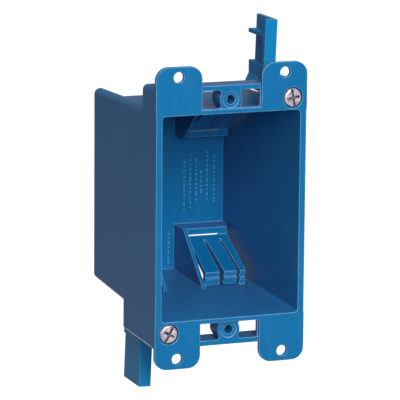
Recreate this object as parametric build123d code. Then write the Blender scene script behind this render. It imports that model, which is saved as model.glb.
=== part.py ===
from build123d import *
import os

# Single-gang old-work electrical box, in millimetres.
# X runs to the right, Y into the wall, Z up. The origin is the centre of the front face,
# so y = 0 is the face of the ears and the device is screwed on from the -Y side.

# Driving sizes: the frame's half width, the opening's half height and the depth
FRAME_HALF_W = 28.4
OPENING_HALF_H = 37.0
BODY_DEPTH = 72.6

# Front frame
RAIL_W = 2.3
WEB_HEIGHT = 10.0
FRAME_HALF_H = OPENING_HALF_H + WEB_HEIGHT
FRAME_CORNER_R = 2.0
OPENING_CORNER_R = 1.3
WEB_RECESS = 1.15
WEB_BACK = 2.75
RIM_WALL = 1.6
SIDE_WALL = 1.9
RIM_DEPTH = 11.6
RIM_DRAFT = 0.45
HOOD_W = 9.4
HOOD_HEIGHT = 17.0
HOOD_DEPTH = 15.0
FLAG_SKIRT_DEPTH = 36.0
SKIRT_HEIGHT = 13.0
SKIRT_EDGE_R = 0.6
UPPER_SKIRT_DROP = 0.9

# How far a joined piece reaches into its neighbour, and a cut past the face it opens
OVERLAP = 1.0

# Tapered tub behind the frame
SIDE_TAPER = 1.7
ROOF_TAPER = 2.6
TUB_WALL = 1.6
BACK_WALL = 2.2
BACK_SIDE_WALL = 2.3
BACK_ROOF_WALL = 1.5
TUB_HALF_H = OPENING_HALF_H + TUB_WALL
BACK_OUT_HALF_W = FRAME_HALF_W - SIDE_TAPER
BACK_OUT_HALF_H = TUB_HALF_H - ROOF_TAPER
BACK_IN_HALF_W = BACK_OUT_HALF_W - BACK_SIDE_WALL
BACK_IN_HALF_H = BACK_OUT_HALF_H - BACK_ROOF_WALL
TUB_EDGE_R = 2.2
BACK_EDGE_R = 1.6
CAVITY_EDGE_R = 1.0
CAVITY_BACK_R = 0.6

# Moulding gate on the back wall
GATE_INSET = 2.1
GATE_Z = 0.6
GATE_R = 0.9
GATE_HEIGHT = 0.7

# The roof between the two upper cable ways slopes down to the back wall
ROOF_SLOPE_RUN = 22.6
ROOF_SLOPE_DROP = 4.3
ROOF_THICK = 1.8
ROOF_BEND_Y = BODY_DEPTH - ROOF_SLOPE_RUN
ROOF_BACK_Z = BACK_OUT_HALF_H - ROOF_SLOPE_DROP

# Ears
EAR_W = 17.1
EAR_REACH = 7.4
EAR_PROUD = 0.15
EAR_THICK = 1.5
EAR_CORNER_R = 4.6
EAR_HOLE_INSET = 8.3
EAR_HOLE_UP = 3.7
EAR_HOLE_R = 1.95
EAR_INNER_X = FRAME_HALF_W - EAR_W
EAR_TIP_Z = FRAME_HALF_H + EAR_REACH
EAR_HOLE_X = FRAME_HALF_W - EAR_HOLE_INSET
EAR_HOLE_Z = FRAME_HALF_H + EAR_HOLE_UP

# Device screw holes and the windows beside them
DEVICE_PITCH = 83.34
DEVICE_HOLE_R = 1.65
DEVICE_HOLE_DEPTH = 8.0
DEVICE_RING_R = 2.9
DEVICE_RING_DEPTH = 0.3
BOSS_R = 4.2
BOSS_BACK = 9.0
WINDOW_IN_X = 3.7
WINDOW_EAR_GAP = 0.35
WINDOW_OPENING_GAP = 1.75
WINDOW_RIM_GAP = 1.85
WINDOW_CORNER_R = 0.7
WINDOW_OUT_X = EAR_INNER_X - WINDOW_EAR_GAP
WINDOW_IN_Z = OPENING_HALF_H + WINDOW_OPENING_GAP
WINDOW_OUT_Z = FRAME_HALF_H - WINDOW_RIM_GAP

# Clamp screws
SCREW_INSET_X = 5.2
SCREW_INSET_Z = 5.6
SCREW_X = FRAME_HALF_W - SCREW_INSET_X
SCREW_Z = FRAME_HALF_H - SCREW_INSET_Z
SCREW_SHANK_R = 1.75
SCREW_HEAD_R = 3.25
SCREW_HEAD_THICK = 2.2
SCREW_DOME = 0.7
SCREW_TIP_Y = 42.0
SCREW_TIP_CHAMFER = 0.7
CROSS_LENGTH = 4.4
CROSS_WIDTH = 0.95
CROSS_DEPTH = 1.3
SLOT_LENGTH = 6.0
SLOT_DEPTH = 0.8

# How the two screws happen to stand, as their slot's angle from the horizontal
TOP_SLOT_ANGLE = 100
BOTTOM_SLOT_ANGLE = 60

# Seat of the head in the frame, and the block behind it
SEAT_DEPTH = 2.0
SEAT_GAP = 0.5
SCREW_HOLE_GAP = 0.08
SCREW_BLOCK_W = 9.0
SCREW_BLOCK_BACK = 5.0

# Swing flags, drawn about their own screw axis with the arm along +Z
FLAG_DEPTH = 16.3
FLAG_IN_X = -1.8
FLAG_OUT_X = 2.7
FLAG_WEB = 1.5
FLANGE_THICK = 2.5
FLAG_TIP_Z = 24.9
FLAG_LEAN = 2.0
FLAG_LEAN_SHIFT = -0.87
NECK_Z = 8.1
GUSSET_Z = 18.2
GUSSET_THICK = 1.5
HUB_R = 2.7
HUB_FRONT = -1.5
HUB_BACK = 16.7
HUB_BORE_GAP = 0.05
SHOULDER_X = -3.05
SHOULDER_Z = 0.8
SHOULDER_TOP_Z = 3.4
SHOULDER_FRONT = 7.5
TOP_FLAG_Y = 22.0
BOTTOM_FLAG_Y = 23.6

# Cable ramps: a cheek, two springy fingers and a fixed border strip beside the outer wall
LEFT_RAMP_W = 15.6
RIGHT_RAMP_W = 19.6
LEFT_CHEEK_X = BACK_IN_HALF_W - LEFT_RAMP_W
RIGHT_CHEEK_X = BACK_IN_HALF_W - RIGHT_RAMP_W
CHEEK_THICK = 1.4
SHELF_DROP = 19.7
SHELF_Z = OPENING_HALF_H - SHELF_DROP
SHELF_THICK = 2.4
SHELF_RUN = 11.8
CHEEK_RUN = 32.5
SHELF_FRONT_Y = BODY_DEPTH - SHELF_RUN
CHEEK_FOOT_Y = BODY_DEPTH - CHEEK_RUN
SLIT = 0.4
CHEEK_GAP = 0.3
FINGER_GAP = 0.6
FINGER_FAN = 1.3
FAN_LOSS = 0.6
STIFFENER_THICK = 0.9
STIFFENER_FOOT_RUN = 2.0
FINGER_THICK = 2.1
FINGER_RUN = 31.2
FINGER_TIP_DROP = 7.0
FINGER_TIP_Y = BODY_DEPTH - FINGER_RUN
FINGER_TIP_Z = OPENING_HALF_H - FINGER_TIP_DROP
FOOT_THICK = 2.6
FOOT_GAP = 0.45
TOOTH = 0.7
HINGE_BAR_RUN = 2.4
BORDER_INSET = 5.5
BORDER_W = 3.4
BORDER_X = BACK_IN_HALF_W - BORDER_INSET
SHELF_SINK = 1.2
SHELF_BACK_X = BACK_IN_HALF_W + SHELF_SINK
GROOVE_W = 0.6
CHANNEL_RUN = 26.1
CHANNEL_INSET = 0.4
CHANNEL_FRONT_Y = BODY_DEPTH - CHANNEL_RUN
CHANNEL_OUT_X = BACK_IN_HALF_W - CHANNEL_INSET
ROOT_SINK = 0.8


def face_plane(y):
    """A plane across the box at depth y, seen from the front: local x is X, local y is Z."""
    return Plane(origin=(0, y, 0), x_dir=(1, 0, 0), z_dir=(0, -1, 0))


def slab(outline, y0, y1):
    """An outline in X and Z, carried from depth y0 to depth y1."""
    return extrude(face_plane(y0) * outline, amount=y0 - y1)


def block(x0, x1, y0, y1, z0, z1):
    """A plain block between two opposite corners."""
    return Pos((x0 + x1) / 2, (y0 + y1) / 2, (z0 + z1) / 2) * Box(
        abs(x1 - x0), abs(y1 - y0), abs(z1 - z0)
    )


def rib(points, x0, x1):
    """A side profile of (y, z) points, carried from x0 to x1."""
    side = make_face(Polyline([(0, y, z) for y, z in points], close=True))
    return Pos(x0, 0, 0) * extrude(side, amount=x1 - x0, dir=(1, 0, 0))


def rod(x, z, radius, y0, y1):
    """A round bar along Y."""
    return slab(Pos(x, z) * Circle(radius), y0, y1)


def half_turn(shape):
    """The same shape turned 180 degrees about the Y axis, as the lower clamp is."""
    return Rot(0, 180, 0) * shape


def between(front, back, y):
    """A half size at depth y, on the straight line from the front face to the back wall."""
    return front + (back - front) * y / BODY_DEPTH


def floor_at(y):
    """Inside half height of the tub at depth y."""
    inner_depth = BODY_DEPTH - BACK_WALL
    return OPENING_HALF_H + (BACK_IN_HALF_H - OPENING_HALF_H) * y / inner_depth


def tub_outside():
    front = face_plane(0) * RectangleRounded(2 * FRAME_HALF_W, 2 * TUB_HALF_H, TUB_EDGE_R)
    back = face_plane(BODY_DEPTH) * RectangleRounded(
        2 * BACK_OUT_HALF_W, 2 * BACK_OUT_HALF_H, TUB_EDGE_R
    )
    shape = loft([front, back])
    return fillet(shape.faces().sort_by(Axis.Y)[-1].edges(), BACK_EDGE_R)


def tub_cavity():
    front = face_plane(0) * RectangleRounded(
        2 * (FRAME_HALF_W - RAIL_W), 2 * OPENING_HALF_H, OPENING_CORNER_R
    )
    back = face_plane(BODY_DEPTH - BACK_WALL) * RectangleRounded(
        2 * BACK_IN_HALF_W, 2 * BACK_IN_HALF_H, CAVITY_EDGE_R
    )
    shape = loft([front, back])
    return fillet(shape.faces().sort_by(Axis.Y)[-1].edges(), CAVITY_BACK_R)


def front_frame():
    """Rim ring, face plate, windowed webs and the round device bosses, without the ears."""
    rim_back_half_w = between(FRAME_HALF_W, BACK_OUT_HALF_W, RIM_DEPTH)
    outer = RectangleRounded(2 * FRAME_HALF_W, 2 * FRAME_HALF_H, FRAME_CORNER_R)
    rim_back = RectangleRounded(2 * rim_back_half_w, 2 * (FRAME_HALF_H - RIM_DRAFT), FRAME_CORNER_R)
    pocket = RectangleRounded(
        2 * (FRAME_HALF_W - SIDE_WALL), 2 * (FRAME_HALF_H - RIM_WALL), FRAME_CORNER_R / 2
    )
    frame = loft([face_plane(0) * outer, face_plane(RIM_DEPTH) * rim_back])
    frame -= slab(pocket, WEB_BACK, RIM_DEPTH)
    frame += corner_hood(rim_back - pocket)
    window_w = WINDOW_OUT_X - WINDOW_IN_X
    window_h = WINDOW_OUT_Z - WINDOW_IN_Z
    window = slab(RectangleRounded(window_w, window_h, WINDOW_CORNER_R), 0, WEB_BACK)
    window_x = WINDOW_IN_X + window_w / 2
    window_z = WINDOW_IN_Z + window_h / 2
    for side in (-1, 1):
        for end in (-1, 1):
            frame -= Pos(side * window_x, 0, end * window_z) * window
    for end in (-1, 1):
        frame += rod(0, end * DEVICE_PITCH / 2, BOSS_R, 0, BOSS_BACK)
        frame -= block(
            -EAR_INNER_X, EAR_INNER_X, 0, WEB_RECESS, end * OPENING_HALF_H, end * (FRAME_HALF_H + OVERLAP)
        )
    return frame


def corner_hood(rim_outline):
    """The rim reaches further back at the two corners that have no flag."""
    width = HOOD_W + OVERLAP
    height = HOOD_HEIGHT + OVERLAP
    middle_x = width / 2 - OVERLAP - FRAME_HALF_W
    middle_z = FRAME_HALF_H + OVERLAP - height / 2
    window = Pos(middle_x, middle_z) * Rectangle(width, height)
    hood = slab(rim_outline & window, RIM_DEPTH - OVERLAP, HOOD_DEPTH)
    return hood + half_turn(hood)


def ears():
    """Four rounded ears, flush with the side rails and a little proud of the side walls."""
    width = FRAME_HALF_W + EAR_PROUD - EAR_INNER_X
    height = EAR_TIP_Z - OPENING_HALF_H
    outline = Rectangle(width, height)
    outline = fillet(outline.vertices().group_by(Axis.Y)[-1], EAR_CORNER_R)
    ear = Pos(EAR_INNER_X + width / 2, 0, OPENING_HALF_H + height / 2) * slab(outline, 0, EAR_THICK)
    upper = ear + mirror(ear, about=Plane.YZ)
    return upper + mirror(upper, about=Plane.XY)


def flag_corner(drop):
    """Upper right corner: the block under the screw head, and the skirt beside the flag, lower by drop."""
    wall_x = FRAME_HALF_W - SIDE_WALL
    skirt_out = between(FRAME_HALF_W, BACK_OUT_HALF_W, FLAG_SKIRT_DEPTH)
    plan = [
        (wall_x, 0, 0),
        (FRAME_HALF_W, 0, 0),
        (skirt_out, FLAG_SKIRT_DEPTH, 0),
        (wall_x, FLAG_SKIRT_DEPTH, 0),
    ]
    outline = make_face(Polyline(plan, close=True))
    skirt = extrude(outline, amount=SKIRT_HEIGHT - drop, dir=(0, 0, 1))
    skirt = Pos(0, 0, FRAME_HALF_H - SKIRT_HEIGHT) * skirt
    outer_edge = skirt.edges().filter_by(Axis.Y, tolerance=5).group_by(Axis.Z)[-1].sort_by(Axis.X)[-1]
    skirt = fillet(outer_edge, SKIRT_EDGE_R)
    screw_block = block(
        FRAME_HALF_W - SCREW_BLOCK_W, FRAME_HALF_W - OVERLAP, 0, SCREW_BLOCK_BACK,
        OPENING_HALF_H + OVERLAP, FRAME_HALF_H - OVERLAP,
    )
    return skirt + screw_block


def screw_hole():
    """Seat for the screw head and the clearance hole behind it, upper right."""
    seat = rod(SCREW_X, SCREW_Z, SCREW_HEAD_R + SEAT_GAP, 0, SEAT_DEPTH)
    return seat + rod(SCREW_X, SCREW_Z, SCREW_SHANK_R + SCREW_HOLE_GAP, 0, SCREW_BLOCK_BACK)


def channel(cheek_x):
    """Cable way cut through the back wall and floor behind one lower ramp on the +X side."""
    return block(
        cheek_x + CHEEK_THICK, CHANNEL_OUT_X, CHANNEL_FRONT_Y, BODY_DEPTH + OVERLAP,
        -SHELF_Z - SHELF_THICK, -TUB_HALF_H,
    )


def toothed_foot(tip_y, tip_z, foot_z):
    """Front profile of a foot, from its tip down: two teeth, the faces between them set back."""
    step = (foot_z - tip_z) / 5
    profile = [(tip_y, -tip_z)]
    for tooth in (1, 3):
        low = -tip_z - tooth * step
        profile += [(tip_y, low), (tip_y + TOOTH, low)]
        if tooth == 1:
            profile += [(tip_y + TOOTH, low - step), (tip_y, low - step)]
    return profile + [(tip_y + TOOTH, -foot_z)]


def leaning(profile, x0, x1, lean0, lean1):
    """A side profile carried from x0 to x1, whose two sides lean out by lean0 and lean1 at the tip."""
    side = rib(profile, x0, x1 + lean1)
    plan = make_face(
        Polyline(
            [
                (x0, SHELF_FRONT_Y),
                (x1, SHELF_FRONT_Y),
                (x1 + lean1, FINGER_TIP_Y),
                (x0 + lean0, FINGER_TIP_Y),
            ],
            close=True,
        )
    )
    return side & (Pos(0, 0, -TUB_HALF_H) * extrude(plan, amount=TUB_HALF_H, dir=(0, 0, 1)))


def arm(root_z, foot_z, x0, x1, lean0, lean1):
    """A sloping arm from the slit in front of the shelf to a toothed foot at foot_z."""
    foot_back = FINGER_TIP_Y + FOOT_THICK
    profile = [(SHELF_FRONT_Y, -root_z)]
    profile += toothed_foot(FINGER_TIP_Y, FINGER_TIP_Z, foot_z)
    profile += [
        (foot_back, -foot_z),
        (foot_back, -FINGER_TIP_Z - FINGER_THICK / 2),
        (SHELF_FRONT_Y, -root_z - FINGER_THICK),
    ]
    return leaning(profile, x0, x1, lean0, lean1)


def stiffener(root_z, foot_z, x0, lean):
    """A thin gusset under an arm's inner edge, from the hinge bar to the back of the foot."""
    foot_back = FINGER_TIP_Y + FOOT_THICK
    profile = [
        (SHELF_FRONT_Y - HINGE_BAR_RUN, -root_z - FINGER_THICK),
        (foot_back - OVERLAP, -FINGER_TIP_Z - FINGER_THICK / 2),
        (foot_back - OVERLAP, -foot_z),
        (foot_back + STIFFENER_FOOT_RUN, -foot_z),
    ]
    return leaning(profile, x0, x0 + STIFFENER_THICK, lean, lean)


def shelf(x0, x1):
    """The shelf at the back wall, running out to the side wall at the back only."""
    plan = make_face(
        Polyline(
            [
                (x0, SHELF_FRONT_Y),
                (x1, SHELF_FRONT_Y),
                (SHELF_BACK_X, BODY_DEPTH - BACK_WALL + OVERLAP),
                (x0, BODY_DEPTH - BACK_WALL + OVERLAP),
            ],
            close=True,
        )
    )
    return Pos(0, 0, -SHELF_Z - SHELF_THICK) * extrude(plan, amount=SHELF_THICK, dir=(0, 0, 1))


def ramp(cheek_x):
    """One lower cable ramp on the +X side, its cheek's inner face at cheek_x."""
    inner_depth = BODY_DEPTH - BACK_WALL + OVERLAP
    floor = floor_at(FINGER_TIP_Y)
    cheek_out = cheek_x + CHEEK_THICK
    border_out = BORDER_X + BORDER_W
    first_x = cheek_out + CHEEK_GAP
    finger_w = (BORDER_X - first_x) / 2 - FINGER_GAP
    cheek = rib(
        [
            (inner_depth, -SHELF_Z),
            (SHELF_FRONT_Y, -SHELF_Z),
            (CHEEK_FOOT_Y, -floor_at(CHEEK_FOOT_Y)),
            (CHEEK_FOOT_Y, -floor_at(CHEEK_FOOT_Y) - ROOT_SINK),
            (inner_depth, -floor_at(inner_depth) - ROOT_SINK),
        ],
        cheek_x, cheek_out,
    )
    root_z = SHELF_Z + SHELF_THICK + SLIT
    slope = (FINGER_TIP_Z - root_z) / (SHELF_FRONT_Y - FINGER_TIP_Y)
    bar_front = SHELF_FRONT_Y - HINGE_BAR_RUN
    bar_drop = HINGE_BAR_RUN * slope
    hinge_bar = rib(
        [
            (SHELF_FRONT_Y, -root_z),
            (bar_front, -root_z - bar_drop),
            (bar_front, -root_z - bar_drop - FINGER_THICK),
            (SHELF_FRONT_Y, -root_z - FINGER_THICK),
        ],
        cheek_out, border_out,
    )
    knuckle = block(
        BORDER_X, border_out, SHELF_FRONT_Y, SHELF_FRONT_Y + OVERLAP,
        -SHELF_Z - SHELF_THICK / 2, -root_z - FINGER_THICK,
    )
    foot_z = floor - FOOT_GAP
    second_x = first_x + finger_w + FINGER_GAP
    shape = cheek + shelf(cheek_out, border_out) + hinge_bar + knuckle
    shape += arm(root_z, floor + ROOT_SINK, BORDER_X, border_out, FINGER_FAN, 0)
    for inner_x in (second_x, BORDER_X):
        shape += stiffener(root_z, foot_z, inner_x, FINGER_FAN)
    for left, fan, fan_out in ((first_x, 0, 0), (second_x, FINGER_FAN, FINGER_FAN - FAN_LOSS)):
        finger = arm(root_z, foot_z, left, left + finger_w, fan, fan_out)
        for share in (1, 2):
            middle = left + fan + share * finger_w / 3
            finger -= block(
                middle - GROOVE_W / 2, middle + GROOVE_W / 2, FINGER_TIP_Y, FINGER_TIP_Y + TOOTH,
                -FINGER_TIP_Z - TOOTH, -floor,
            )
        shape += finger
    return shape


def roof_slope():
    """What is cut off the roof between the upper cable ways, and the sloping wall put in there."""
    bend_z = between(TUB_HALF_H, BACK_OUT_HALF_H, ROOF_BEND_Y)
    left = -LEFT_CHEEK_X - CHEEK_THICK
    right = RIGHT_CHEEK_X + CHEEK_THICK
    cut = rib(
        [
            (ROOF_BEND_Y, bend_z),
            (BODY_DEPTH, ROOF_BACK_Z),
            (BODY_DEPTH + OVERLAP, ROOF_BACK_Z),
            (BODY_DEPTH + OVERLAP, TUB_HALF_H),
            (ROOF_BEND_Y, TUB_HALF_H),
        ],
        left, right,
    )
    wall = rib(
        [
            (ROOF_BEND_Y, bend_z),
            (BODY_DEPTH, ROOF_BACK_Z),
            (BODY_DEPTH, ROOF_BACK_Z - ROOF_THICK),
            (ROOF_BEND_Y, bend_z - ROOF_THICK),
        ],
        left, right,
    )
    return cut, wall


def box_body():
    shape = tub_outside() + front_frame()
    shape += flag_corner(UPPER_SKIRT_DROP)
    shape += half_turn(flag_corner(0))
    shape -= tub_cavity()
    shape += ears()
    for cheek_x, turn in ((RIGHT_CHEEK_X, False), (LEFT_CHEEK_X, True)):
        way = channel(cheek_x)
        slope = ramp(cheek_x)
        if turn:
            way = mirror(way, about=Plane.YZ)
            slope = mirror(slope, about=Plane.YZ)
        for flip in (False, True):
            shape -= mirror(way, about=Plane.XY) if flip else way
            shape += mirror(slope, about=Plane.XY) if flip else slope
    roof_cut, roof_wall = roof_slope()
    shape += roof_wall
    shape -= roof_cut
    for end in (-1, 1):
        device_z = end * DEVICE_PITCH / 2
        shape -= rod(0, device_z, DEVICE_HOLE_R, 0, DEVICE_HOLE_DEPTH)
        shape -= rod(0, device_z, DEVICE_RING_R, 0, WEB_RECESS + DEVICE_RING_DEPTH)
        for side in (-1, 1):
            shape -= rod(side * EAR_HOLE_X, end * EAR_HOLE_Z, EAR_HOLE_R, 0, EAR_THICK)
    hole = screw_hole()
    shape -= hole
    shape -= half_turn(hole)
    gate_x = GATE_INSET - BACK_OUT_HALF_W
    shape += rod(gate_x, GATE_Z, GATE_R, BODY_DEPTH - OVERLAP, BODY_DEPTH + GATE_HEIGHT)
    return shape


def flag():
    """A swing flag about its own screw axis, its front face at y = 0 and its arm along +Z."""
    web_x = FLAG_OUT_X - FLAG_WEB
    arm_shape = block(FLAG_IN_X, FLAG_OUT_X, 0, FLANGE_THICK, 0, FLAG_TIP_Z)
    arm_shape += block(web_x, FLAG_OUT_X, 0, FLAG_DEPTH, 0, FLAG_TIP_Z)
    arm_shape += block(FLAG_IN_X, FLAG_OUT_X, 0, FLAG_DEPTH, GUSSET_Z, GUSSET_Z + GUSSET_THICK)
    shape = block(FLAG_IN_X, FLAG_OUT_X, 0, FLAG_DEPTH, 0, NECK_Z)
    shape += Pos(FLAG_LEAN_SHIFT, 0, 0) * Rot(0, FLAG_LEAN, 0) * arm_shape
    shoulder = make_face(
        Polyline(
            [
                (FLAG_IN_X, SHOULDER_TOP_Z),
                (SHOULDER_X, SHOULDER_Z),
                (SHOULDER_X, 0),
                (0, 0),
                (0, SHOULDER_TOP_Z),
            ],
            close=True,
        )
    )
    shape += slab(shoulder, SHOULDER_FRONT, FLAG_DEPTH)
    shape += rod(0, 0, HUB_R, HUB_FRONT, HUB_BACK)
    return shape - rod(0, 0, SCREW_SHANK_R + HUB_BORE_GAP, HUB_FRONT, HUB_BACK)


def screw():
    """A pan head screw on the Y axis, seated so that its head's underside is at SEAT_DEPTH."""
    shape = rod(0, 0, SCREW_HEAD_R, SEAT_DEPTH - SCREW_HEAD_THICK, SEAT_DEPTH)
    front_rim = shape.edges().group_by(Axis.Y)[0]
    shape = fillet(front_rim, SCREW_DOME)
    shank = rod(0, 0, SCREW_SHANK_R, SEAT_DEPTH, SCREW_TIP_Y)
    shank = chamfer(shank.edges().group_by(Axis.Y)[-1], SCREW_TIP_CHAMFER)
    shape += shank
    face_y = SEAT_DEPTH - SCREW_HEAD_THICK
    for length, width in ((CROSS_LENGTH, CROSS_WIDTH), (CROSS_WIDTH, CROSS_LENGTH)):
        shape -= slab(Rectangle(length, width), face_y, face_y + CROSS_DEPTH)
    shape -= slab(Rectangle(SLOT_LENGTH, CROSS_WIDTH), face_y, face_y + SLOT_DEPTH)
    return shape


def parts():
    made_screw = screw()
    top_screw = Pos(SCREW_X, 0, SCREW_Z) * Rot(0, -TOP_SLOT_ANGLE, 0) * made_screw
    bottom_screw = Pos(-SCREW_X, 0, -SCREW_Z) * Rot(0, -BOTTOM_SLOT_ANGLE, 0) * made_screw
    top_flag = Pos(SCREW_X, TOP_FLAG_Y, SCREW_Z) * flag()
    low_flag = Pos(SCREW_X, BOTTOM_FLAG_Y, SCREW_Z) * flag()
    return {
        "box_body": box_body(),
        "top_screw": top_screw,
        "bottom_screw": bottom_screw,
        "top_flag": top_flag,
        "bottom_flag": half_turn(low_flag),
    }


os.makedirs("parts", exist_ok=True)
for name, shape in parts().items():
    shape.label = name
    export_step(shape, f"parts/{name}.step")
    box = shape.bounding_box()
    print(name, len(shape.solids()), round(shape.volume), box.min, box.max)
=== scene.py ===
import itertools
import math

import bmesh
import bpy
from mathutils import Matrix, Vector


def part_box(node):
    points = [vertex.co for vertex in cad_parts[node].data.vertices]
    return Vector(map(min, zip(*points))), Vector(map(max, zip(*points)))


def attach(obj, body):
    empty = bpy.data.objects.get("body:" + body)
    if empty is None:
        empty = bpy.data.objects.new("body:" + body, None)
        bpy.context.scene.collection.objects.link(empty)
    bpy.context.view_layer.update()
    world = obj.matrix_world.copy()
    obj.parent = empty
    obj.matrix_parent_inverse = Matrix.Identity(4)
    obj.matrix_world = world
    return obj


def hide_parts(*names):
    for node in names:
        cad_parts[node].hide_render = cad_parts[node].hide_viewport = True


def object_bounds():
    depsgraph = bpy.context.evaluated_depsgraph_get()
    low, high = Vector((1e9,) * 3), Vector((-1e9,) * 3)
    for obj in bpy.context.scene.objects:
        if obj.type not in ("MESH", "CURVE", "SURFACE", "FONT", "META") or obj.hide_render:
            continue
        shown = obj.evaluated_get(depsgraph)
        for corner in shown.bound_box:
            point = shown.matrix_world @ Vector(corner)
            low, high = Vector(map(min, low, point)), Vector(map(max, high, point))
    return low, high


# Single-gang old-work electrical box. Lengths are in metres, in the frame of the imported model:
# X right, Y into the wall, Z up, with the ears' front face at y = 0.

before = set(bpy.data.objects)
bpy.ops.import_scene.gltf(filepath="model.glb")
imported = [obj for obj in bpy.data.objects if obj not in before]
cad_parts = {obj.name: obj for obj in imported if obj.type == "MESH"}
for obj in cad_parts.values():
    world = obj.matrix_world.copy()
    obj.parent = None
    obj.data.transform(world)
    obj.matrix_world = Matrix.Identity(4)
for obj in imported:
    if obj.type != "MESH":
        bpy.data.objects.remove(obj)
cad_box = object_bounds()
MM = 0.001

# Camera, fitted to the straight edges of the box in the photograph
PHOTO_PX = 400
FOCAL_PX = 3205.0
SENSOR_MM = 36.0
CAMERA_AZIMUTH = -21.0
CAMERA_ELEVATION = 11.44
CAMERA_ROLL = 0.5
CAMERA_DISTANCE = 1.1313
CAMERA_AIM = Vector((-0.01185, 0, 0.00659))
CAMERA_CLIP = (0.05, 50.0)

# Softboxes, as azimuth, elevation, distance, width, height and level. Level 1 shows a facing
# surface at about its own colour
SOFTBOXES = {
    "key": (-7, 25, 2.2, 0.9, 1.3, 0.88),
    "top": (10, 78, 1.0, 0.7, 0.5, 0.24),
    "back": (118, 6, 2.0, 0.9, 0.7, 0.35),
    "fill": (-45, 8, 2.0, 0.8, 0.6, 0.05),
}

# Levels of the white surroundings, for plain light and for mirror rays
AMBIENT_LEVEL = 0.1
MIRROR_LEVEL = 0.2

# Studio floor: how far under and before the box, and the glow that lifts it to white for the camera
FLOOR_DROP = 0.16
FLOOR_SIZE = 6.0
FLOOR_FRONT = 0.55
FLOOR_LIFT = 0.9
FLOOR_GREY = (0.54, 0.54, 0.54)
FLOOR_PALE = (0.58, 0.58, 0.58)
FLOOR_CLOUD = (3.0, 3.0, 0.5, 0.0)
WHITE = (1.0, 1.0, 1.0)

# Finish colours, linear. The plastics give a pale, a dark and a third, paler tone that serves both the
# flow streaks and the painted highlights on the edges
BOX_BLUES = ((0.0025, 0.176, 0.43), (0.002, 0.162, 0.4), (0.2, 0.5, 0.8))
FLAG_BLUES = ((0.0012, 0.25, 0.57), (0.001, 0.23, 0.53), (0.12, 0.45, 0.78))
# The dashes' paler blue is a painted highlight on the raised marks
MARK_HIGHLIGHT_BLUES = ((0.06, 0.33, 0.62), (0.01, 0.22, 0.5), (0.3, 0.62, 0.88))
BOX_SHEEN = (0.95, 0.36, 0.72)
FLAG_SHEEN = (0.55, 0.85, 0.9)
SHEEN_WEIGHT = 0.078
SHEEN_ROUGHNESS = 0.35
PLASTIC_IOR = 1.5
PLASTIC_SPECULAR = 0.32
PLASTIC_ROUGHNESS = (0.3, 0.35)
# Near-white tone of the painted highlight line on the left skirt
SKIRT_HIGHLIGHT_TONE = (0.8, 0.88, 1.0)
ZINCS = ((1.0, 0.93, 1.0), (0.56, 0.51, 0.64))
ZINC_ROUGHNESS = (0.16, 0.36)
ZINC_METAL_SHARE = 0.5
# Dark zinc for the floors and walls of the driver recess: painted shade in the recess
RECESS_SHADE_ZINCS = ((0.42, 0.4, 0.44), (0.09, 0.085, 0.1))
RECESS_ROUGHNESS = (0.3, 0.5)

# Noise, each as scale per metre, detail, roughness and distortion. A span is the noise's low and
# high end that become two shares or roughnesses
NONE_TO_ALL = (0.0, 1.0)
MOTTLE = (38.0, 4.0, 0.55, 0.6)
MOTTLE_SPAN = (0.32, 0.68)
STREAK = (1.0, 3.0, 0.6, 0.8)
STREAK_STRETCH = (240.0, 22.0, 60.0)
STREAK_SPAN = (0.5, 0.8)
STREAK_SHARES = (0.0, 0.05)
# The next noise breaks up the painted highlights on the edges and on the skirt line
HIGHLIGHT_BREAKUP = (420.0, 3.0, 0.6, 0.0)
EDGE_HIGHLIGHT_SPAN = (0.3, 0.65)
EDGE_HIGHLIGHT_SHARES = (0.55, 1.0)
LINE_SPAN = (0.3, 0.55)
LINE_SHARES = (0.6, 1.0)
SMUDGE = (120.0, 4.0, 0.65, 0.4)
SMUDGE_SPAN = (0.25, 0.75)
PEEL = (330.0, 2.0, 0.5, 0.0)
PEEL_STRENGTH = 0.35
PEEL_DEPTH = 0.024 * MM
GRAIN = (2600.0, 2.0, 0.6, 0.0)
GRAIN_STRENGTH = 0.5
GRAIN_DEPTH = 0.006 * MM
ZINC_PATCH = (800.0, 4.0, 0.65, 0.5)
PATCH_SPAN = (0.42, 0.56)
ZINC_SPECK = (2500.0, 3.0, 0.7, 0.0)
SPECK_SPAN = (0.3, 0.7)
ZINC_DENT = (620.0, 3.0, 0.6, 0.0)
DENT_STRENGTH = 0.9
DENT_DEPTH = 0.2 * MM

# Rounded edges as the shaders see them, and the cosines between which an edge turns pale as a painted
# highlight
BEVEL_SAMPLES = 6
EDGE_TURN = (0.998, 0.94)
BOX_EDGE_R = 0.5 * MM
FLAG_EDGE_R = 0.3 * MM
MARK_EDGE_R = 0.1 * MM
ZINC_EDGE_R = 0.15 * MM

# Screw thread, 32 turns to the inch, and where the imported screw's shank is cut off for it
THREAD_PITCH = 25.4 / 32 * MM
THREAD_ROOT_SHARE = 0.8
THREAD_RUN_OUT = 1.6 * MM
THREAD_SIDES = 32
THREAD_ROWS = 8
HEAD_DEPTH = 2.0 * MM
SHANK_SEARCH = 0.3 * MM
RECESS_LIP = 0.3 * MM

# Cosines that tell a recess floor from its walls, and both from the head's rim
FACING = 0.99
SIDEWAYS = 0.01
RIM_FACING = 0.9

# Painted highlight line along the lower edge of the left skirt, as ranges of X, Y and Z
LINE_SIDE = (-29.0 * MM, -26.9 * MM)
LINE_RUN = (4.0 * MM, 36.5 * MM)
LINE_BAND = (-47.3 * MM, -46.2 * MM)

# Plain raised dashes moulded on the inside of the back wall, where a box carries its markings
BACK_WALL = 2.2 * MM
GATE_HEIGHT = 0.7 * MM
DASH_HEIGHT = 0.2 * MM
DASH_W = 0.8 * MM
DASH_SINK = 0.05 * MM
DASH_TOP_SHARE = 0.72

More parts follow.
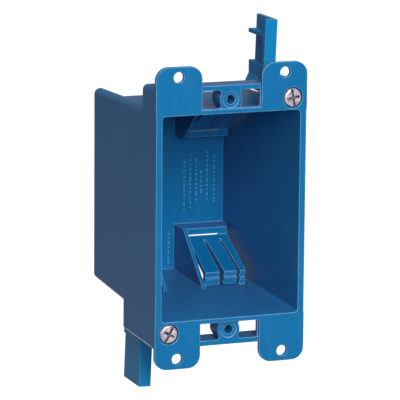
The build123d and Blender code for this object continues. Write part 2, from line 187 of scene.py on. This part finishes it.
# Dash lengths, the gap between dashes, and columns as x, top and bottom, all in millimetres
DASH_GAP = 0.7
DASH_LENGTHS = (1.3, 0.7, 1.9, 1.0, 0.6, 1.5, 0.8)
MARK_COLUMNS = (
    (8.7, 7.0, -12.9),
    (11.1, 9.0, -11.5),
    (13.5, 7.5, -10.5),
    (15.5, 2.8, -4.9),
    (17.9, 10.0, -8.1),
    (20.7, 8.3, -7.9),
    (2.6, -20.5, -31.0),
)


def socket_colour(colour):
    return (*colour, 1.0)


class Nodes:
    """A node tree that is filled a node at a time."""

    def __init__(self, tree):
        self.tree = tree
        tree.nodes.clear()

    def add(self, kind, settings=None, **inputs):
        node = self.tree.nodes.new(kind)
        for name, value in (settings or {}).items():
            setattr(node, name, value)
        for name, value in inputs.items():
            self.feed(node, name.replace("_", " "), value)
        return node

    def feed(self, node, name, value):
        socket = node.inputs[name]
        if isinstance(value, bpy.types.NodeSocket):
            self.tree.links.new(value, socket)
        else:
            socket.default_value = value

    def math(self, operation, first, second, clamp=False):
        node = self.add("ShaderNodeMath", {"operation": operation, "use_clamp": clamp})
        self.feed_at(node, 0, first)
        self.feed_at(node, 1, second)
        return node.outputs[0]

    def feed_at(self, node, index, value):
        if isinstance(value, bpy.types.NodeSocket):
            self.tree.links.new(value, node.inputs[index])
        else:
            node.inputs[index].default_value = value

    def noise(self, grain, place):
        """Noise of that scale, detail, roughness and distortion."""
        scale, detail, roughness, distortion = grain
        node = self.add(
            "ShaderNodeTexNoise", Scale=scale, Detail=detail, Roughness=roughness, Distortion=distortion,
            Vector=place,
        )
        return node.outputs["Fac"]

    def ramp(self, value, span, ends):
        """The value from one end of the span to the other becomes the two ends, held beyond them."""
        node = self.add("ShaderNodeMapRange")
        for index, number in enumerate((value, *span, *ends)):
            self.feed_at(node, index, number)
        return node.outputs[0]

    def blend(self, share, first, second):
        node = self.add("ShaderNodeMix", {"data_type": "RGBA"})
        self.feed_at(node, 0, share)
        for index, colour in ((6, first), (7, second)):
            self.feed_at(node, index, colour)
        return node.outputs[2]

    def inside(self, value, limits):
        """1 where the value lies between the two limits."""
        above = self.math("GREATER_THAN", value, limits[0])
        below = self.math("LESS_THAN", value, limits[1])
        return self.math("MULTIPLY", above, below)

    def soft_edge(self, radius):
        """The normal of a surface whose corners are rounded to that radius."""
        return self.add("ShaderNodeBevel", {"samples": BEVEL_SAMPLES}, Radius=radius).outputs[0]

    def bump(self, height, strength, depth, normal):
        return self.add(
            "ShaderNodeBump", Strength=strength, Distance=depth, Height=height, Normal=normal
        ).outputs[0]

    def edge_share(self, radius):
        """0 on flat faces, rising to 1 where a corner of that radius turns."""
        true = self.add("ShaderNodeNewGeometry").outputs["True Normal"]
        dot = self.add("ShaderNodeVectorMath", {"operation": "DOT_PRODUCT"})
        self.feed_at(dot, 0, self.soft_edge(radius))
        self.feed_at(dot, 1, true)
        return self.ramp(dot.outputs["Value"], EDGE_TURN, NONE_TO_ALL)


def new_material(name):
    material = bpy.data.materials.new(name)
    material.use_nodes = True
    nodes = Nodes(material.node_tree)
    output = nodes.add("ShaderNodeOutputMaterial")
    return material, nodes, output


def skirt_highlight_share(nodes, place):
    """1 in the narrow band along the left skirt's lower edge that is painted as a highlight line."""
    axes = nodes.add("ShaderNodeSeparateXYZ", Vector=place)
    share = nodes.inside(axes.outputs["X"], LINE_SIDE)
    for axis, limits in (("Y", LINE_RUN), ("Z", LINE_BAND)):
        share = nodes.math("MULTIPLY", share, nodes.inside(axes.outputs[axis], limits))
    return share


def moulded_plastic(name, tones, sheen, edge_radius, skirt_highlight=False):
    """Glossy moulded PVC: pigment mottling, faint flow streaks, orange peel, edges painted pale as
    highlights and, when asked, a painted highlight line along the left skirt.
    """
    material, nodes, output = new_material(name)
    colour, dark, streak_and_highlight = tones
    place = nodes.add("ShaderNodeTexCoord").outputs["Object"]
    mottle = nodes.noise(MOTTLE, place)
    stretch = nodes.add("ShaderNodeMapping", Vector=place, Scale=STREAK_STRETCH)
    streak = nodes.noise(STREAK, stretch.outputs[0])
    share = nodes.ramp(mottle, MOTTLE_SPAN, NONE_TO_ALL)
    body = nodes.blend(share, socket_colour(dark), socket_colour(colour))
    streak_share = nodes.ramp(streak, STREAK_SPAN, STREAK_SHARES)
    body = nodes.blend(streak_share, body, socket_colour(streak_and_highlight))
    # Corners turn to the paler tone: a painted highlight along the edges, broken up by noise
    painted_edge_highlight = nodes.edge_share(edge_radius)
    highlight_breakup = nodes.noise(HIGHLIGHT_BREAKUP, place)
    painted_edge_highlight = nodes.math("MULTIPLY", painted_edge_highlight, nodes.ramp(highlight_breakup, EDGE_HIGHLIGHT_SPAN, EDGE_HIGHLIGHT_SHARES))
    body = nodes.blend(painted_edge_highlight, body, socket_colour(streak_and_highlight))
    # A painted highlight line along the left skirt's lower edge
    if skirt_highlight:
        line = nodes.ramp(highlight_breakup, LINE_SPAN, LINE_SHARES)
        line = nodes.math("MULTIPLY", skirt_highlight_share(nodes, place), line)
        body = nodes.blend(line, body, socket_colour(SKIRT_HIGHLIGHT_TONE))
    smudge = nodes.noise(SMUDGE, place)
    rough = nodes.ramp(smudge, SMUDGE_SPAN, PLASTIC_ROUGHNESS)
    normal = nodes.soft_edge(edge_radius)
    normal = nodes.bump(nodes.noise(PEEL, place), PEEL_STRENGTH, PEEL_DEPTH, normal)
    normal = nodes.bump(nodes.noise(GRAIN, place), GRAIN_STRENGTH, GRAIN_DEPTH, normal)
    shader = nodes.add(
        "ShaderNodeBsdfPrincipled", Base_Color=body, Roughness=rough, IOR=PLASTIC_IOR, Normal=normal
    )
    nodes.feed(shader, "Specular IOR Level", PLASTIC_SPECULAR)
    nodes.feed(shader, "Sheen Weight", SHEEN_WEIGHT)
    nodes.feed(shader, "Sheen Roughness", SHEEN_ROUGHNESS)
    nodes.feed(shader, "Sheen Tint", socket_colour(sheen))
    nodes.feed(output, "Surface", shader.outputs[0])
    return material


def zinc_plate(name, tones, roughness):
    """Zinc plating: dull patches, specks, fine dents and softened edges."""
    material, nodes, output = new_material(name)
    colour, dark = tones
    place = nodes.add("ShaderNodeTexCoord").outputs["Object"]
    patch = nodes.noise(ZINC_PATCH, place)
    share = nodes.ramp(patch, PATCH_SPAN, NONE_TO_ALL)
    body = nodes.blend(share, socket_colour(dark), socket_colour(colour))
    rough = nodes.ramp(nodes.noise(ZINC_SPECK, place), SPECK_SPAN, roughness)
    normal = nodes.soft_edge(ZINC_EDGE_R)
    normal = nodes.bump(nodes.noise(ZINC_DENT, place), DENT_STRENGTH, DENT_DEPTH, normal)
    shader = nodes.add("ShaderNodeBsdfPrincipled", Base_Color=body, Roughness=rough, Normal=normal)
    nodes.feed(shader, "Metallic", ZINC_METAL_SHARE)
    nodes.feed(output, "Surface", shader.outputs[0])
    return material


def floor_material():
    """Pale floor that keeps a soft shadow: lit grey, lifted to white where it is seen."""
    material, nodes, output = new_material("studio_floor")
    camera = nodes.add("ShaderNodeLightPath").outputs["Is Camera Ray"]
    place = nodes.add("ShaderNodeTexCoord").outputs["Object"]
    cloud = nodes.noise(FLOOR_CLOUD, place)
    tone = nodes.blend(cloud, socket_colour(FLOOR_GREY), socket_colour(FLOOR_PALE))
    matt = nodes.add("ShaderNodeBsdfDiffuse", Color=tone)
    lift = nodes.math("MULTIPLY", camera, FLOOR_LIFT)
    glow = nodes.add("ShaderNodeEmission", Color=socket_colour(WHITE), Strength=lift)
    both = nodes.add("ShaderNodeAddShader")
    nodes.feed_at(both, 0, matt.outputs[0])
    nodes.feed_at(both, 1, glow.outputs[0])
    nodes.feed(output, "Surface", both.outputs[0])
    return material


def white_surroundings():
    """A dim even light on the object, brighter in mirrors, and white where the camera looks past it."""
    world = bpy.data.worlds.new("studio")
    world.use_nodes = True
    nodes = Nodes(world.node_tree)
    path = nodes.add("ShaderNodeLightPath")
    glossy = path.outputs["Is Glossy Ray"]
    mirror = nodes.math("ADD", glossy, path.outputs["Is Transmission Ray"], clamp=True)
    strength = nodes.math("MULTIPLY", mirror, MIRROR_LEVEL - AMBIENT_LEVEL)
    strength = nodes.math("ADD", strength, AMBIENT_LEVEL)
    strength = nodes.math("MAXIMUM", strength, path.outputs["Is Camera Ray"])
    background = nodes.add("ShaderNodeBackground", Color=socket_colour(WHITE), Strength=strength)
    nodes.add("ShaderNodeOutputWorld", Surface=background.outputs[0])
    bpy.context.scene.world = world


def direction(azimuth, elevation):
    """Unit vector from the object towards a place. Azimuth 0 is in front, -Y; positive is to the right."""
    a = math.radians(azimuth)
    e = math.radians(elevation)
    return Vector((math.sin(a) * math.cos(e), -math.cos(a) * math.cos(e), math.sin(e)))


def look_along(back):
    """Rotation of a camera or lamp whose back points that way."""
    return (-back).to_track_quat("-Z", "Y")


def softbox(name, azimuth, elevation, distance, width, height, level):
    lamp = bpy.data.lights.new(name, "AREA")
    lamp.shape = "RECTANGLE"
    lamp.size = width
    lamp.size_y = height
    lamp.energy = level * math.pi**2 * distance**2
    holder = bpy.data.objects.new(name, lamp)
    back = direction(azimuth, elevation)
    holder.location = back * distance
    holder.rotation_mode = "QUATERNION"
    holder.rotation_quaternion = look_along(back)
    bpy.context.scene.collection.objects.link(holder)


def photo_camera():
    data = bpy.data.cameras.new("photo_camera")
    data.sensor_width = SENSOR_MM
    data.lens = SENSOR_MM * FOCAL_PX / PHOTO_PX
    data.clip_start, data.clip_end = CAMERA_CLIP
    camera = bpy.data.objects.new("photo_camera", data)
    back = direction(CAMERA_AZIMUTH, CAMERA_ELEVATION)
    level_right = (-back).cross(Vector((0, 0, 1))).normalized()
    level_up = level_right.cross(-back)
    roll = math.radians(CAMERA_ROLL)
    right = level_right * math.cos(roll) + level_up * math.sin(roll)
    up = level_up * math.cos(roll) - level_right * math.sin(roll)
    turn = Matrix((right, up, back)).transposed().to_4x4()
    camera.matrix_world = Matrix.Translation(CAMERA_AIM + back * CAMERA_DISTANCE) @ turn
    bpy.context.scene.collection.objects.link(camera)
    bpy.context.scene.camera = camera


def studio():
    white_surroundings()
    for name, place in SOFTBOXES.items():
        softbox(name, *place)
    mesh = bpy.data.meshes.new("floor")
    half = FLOOR_SIZE / 2
    low = cad_box[0].z - FLOOR_DROP
    near = cad_box[0].y - FLOOR_FRONT
    far = near + FLOOR_SIZE
    corners = [(-half, near, low), (half, near, low), (half, far, low), (-half, far, low)]
    mesh.from_pydata(corners, [], [(0, 1, 2, 3)])
    mesh.materials.append(floor_material())
    floor = bpy.data.objects.new("floor", mesh)
    bpy.context.scene.collection.objects.link(floor)


def mesh_piece(name, build, body, material):
    """A new object from a filled bmesh, riding on a body."""
    mesh = bpy.data.meshes.new(name)
    build.to_mesh(mesh)
    build.free()
    mesh.materials.append(material)
    piece = bpy.data.objects.new(name, mesh)
    bpy.context.scene.collection.objects.link(piece)
    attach(piece, body)
    return piece


def threaded_shank(build, centre_x, centre_z, radius, start, tip):
    """A closed bar along Y whose surface is a single-start V thread, running out at both ends."""
    count = round((tip - start) / THREAD_PITCH * THREAD_ROWS)
    rings = []
    for row in range(count + 1):
        y = start + (tip - start) * row / count
        fade = min(1.0, (y - start) / THREAD_RUN_OUT, (tip - y) / THREAD_RUN_OUT)
        ring = []
        for side in range(THREAD_SIDES):
            turn = side / THREAD_SIDES
            phase = (y / THREAD_PITCH - turn) % 1.0
            crest = 1.0 - abs(2.0 * phase - 1.0)
            share = THREAD_ROOT_SHARE + (1.0 - THREAD_ROOT_SHARE) * crest * fade
            angle = 2 * math.pi * turn
            x = centre_x + radius * share * math.cos(angle)
            z = centre_z + radius * share * math.sin(angle)
            ring.append(build.verts.new((x, y, z)))
        rings.append(ring)
    for first, second in zip(rings, rings[1:]):
        for side in range(THREAD_SIDES):
            follow = (side + 1) % THREAD_SIDES
            build.faces.new((first[side], first[follow], second[follow], second[side]))
    build.faces.new(list(reversed(rings[0])))
    build.faces.new(rings[-1])


def is_recess(face, centre_x, centre_z, face_y):
    """True for the floors and walls of the driver recess in a screw's head."""
    middle = face.calc_center_median()
    out = Vector((middle.x - centre_x, 0, middle.z - centre_z)).normalized()
    floor = face.normal.y < -FACING and middle.y > face_y + RECESS_LIP
    wall = abs(face.normal.y) < SIDEWAYS and face.normal.dot(out) < RIM_FACING
    return floor or wall


def threaded_screw(node, material, recess_shade_material):
    """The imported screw's own head, on a shank with a real thread."""
    low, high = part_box(node)
    centre_x = (low.x + high.x) / 2
    centre_z = (low.z + high.z) / 2
    build = bmesh.new()
    build.from_mesh(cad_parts[node].data)
    shank_reach = [
        math.hypot(vert.co.x - centre_x, vert.co.z - centre_z)
        for vert in build.verts
        if vert.co.y > high.y / 2
    ]
    radius = max(shank_reach)
    behind = [face for face in build.faces if face.calc_center_median().y > HEAD_DEPTH + SHANK_SEARCH]
    bmesh.ops.delete(build, geom=behind, context="FACES")
    build.normal_update()
    for face in build.faces:
        # Recess floors and walls take the dark zinc, a painted shade
        face.material_index = int(is_recess(face, centre_x, centre_z, low.y))
    threaded_shank(build, centre_x, centre_z, radius, HEAD_DEPTH - SHANK_SEARCH, high.y)
    bmesh.ops.recalc_face_normals(build, faces=build.faces)
    piece = mesh_piece(f"{node}_threaded", build, node, material)
    piece.data.materials.append(recess_shade_material)
    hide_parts(node)


def raised_dash(build, x, z, width, height, wall_y):
    """One small moulded bar on the back wall, its sides drafted."""
    rings = []
    for y, share in ((wall_y + DASH_SINK, 1.0), (wall_y - DASH_HEIGHT, DASH_TOP_SHARE)):
        ring = []
        for sx, sz in ((-1, -1), (1, -1), (1, 1), (-1, 1)):
            ring.append(build.verts.new((x + sx * width / 2 * share, y, z + sz * height / 2 * share)))
        rings.append(ring)
    base, crown = rings
    for side in range(4):
        follow = (side + 1) % 4
        build.faces.new((base[side], base[follow], crown[follow], crown[side]))
    build.faces.new(crown)
    build.faces.new(list(reversed(base)))


def back_wall_marks(material):
    """Columns of plain dashes. They say nothing."""
    low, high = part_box("box_body")
    wall_y = high.y - GATE_HEIGHT - BACK_WALL
    build = bmesh.new()
    lengths = itertools.cycle(DASH_LENGTHS)
    for x, top, bottom in MARK_COLUMNS:
        z = top
        while z > bottom:
            length = next(lengths)
            raised_dash(build, x * MM, (z - length / 2) * MM, DASH_W, length * MM, wall_y)
            z -= length + DASH_GAP
    bmesh.ops.recalc_face_normals(build, faces=build.faces)
    mesh_piece("back_wall_marks", build, "box", material)


def dress(node, material):
    """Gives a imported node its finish."""
    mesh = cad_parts[node].data
    mesh.materials.clear()
    mesh.materials.append(material)


scene = bpy.context.scene
scene.view_settings.view_transform = "Standard"
photo_camera()
studio()
# The box plastic carries the painted highlight line on the left skirt
box_plastic = moulded_plastic("box_plastic", BOX_BLUES, BOX_SHEEN, BOX_EDGE_R, skirt_highlight=True)
flag_plastic = moulded_plastic("flag_plastic", FLAG_BLUES, FLAG_SHEEN, FLAG_EDGE_R)
# Paler plastic for the dashes: a painted highlight on the raised marks
marks_highlight_plastic = moulded_plastic("marks_highlight_plastic", MARK_HIGHLIGHT_BLUES, BOX_SHEEN, MARK_EDGE_R)
zinc = zinc_plate("zinc_steel", ZINCS, ZINC_ROUGHNESS)
# The dark zinc paints shade into the screws' driver recesses
zinc_recess_shade = zinc_plate("zinc_recess_shade", RECESS_SHADE_ZINCS, RECESS_ROUGHNESS)
dress("box_body", box_plastic)
for node in ("top_flag", "bottom_flag"):
    dress(node, flag_plastic)
for node in ("top_screw", "bottom_screw"):
    dress(node, zinc)
    threaded_screw(node, zinc, zinc_recess_shade)
back_wall_marks(marks_highlight_plastic)
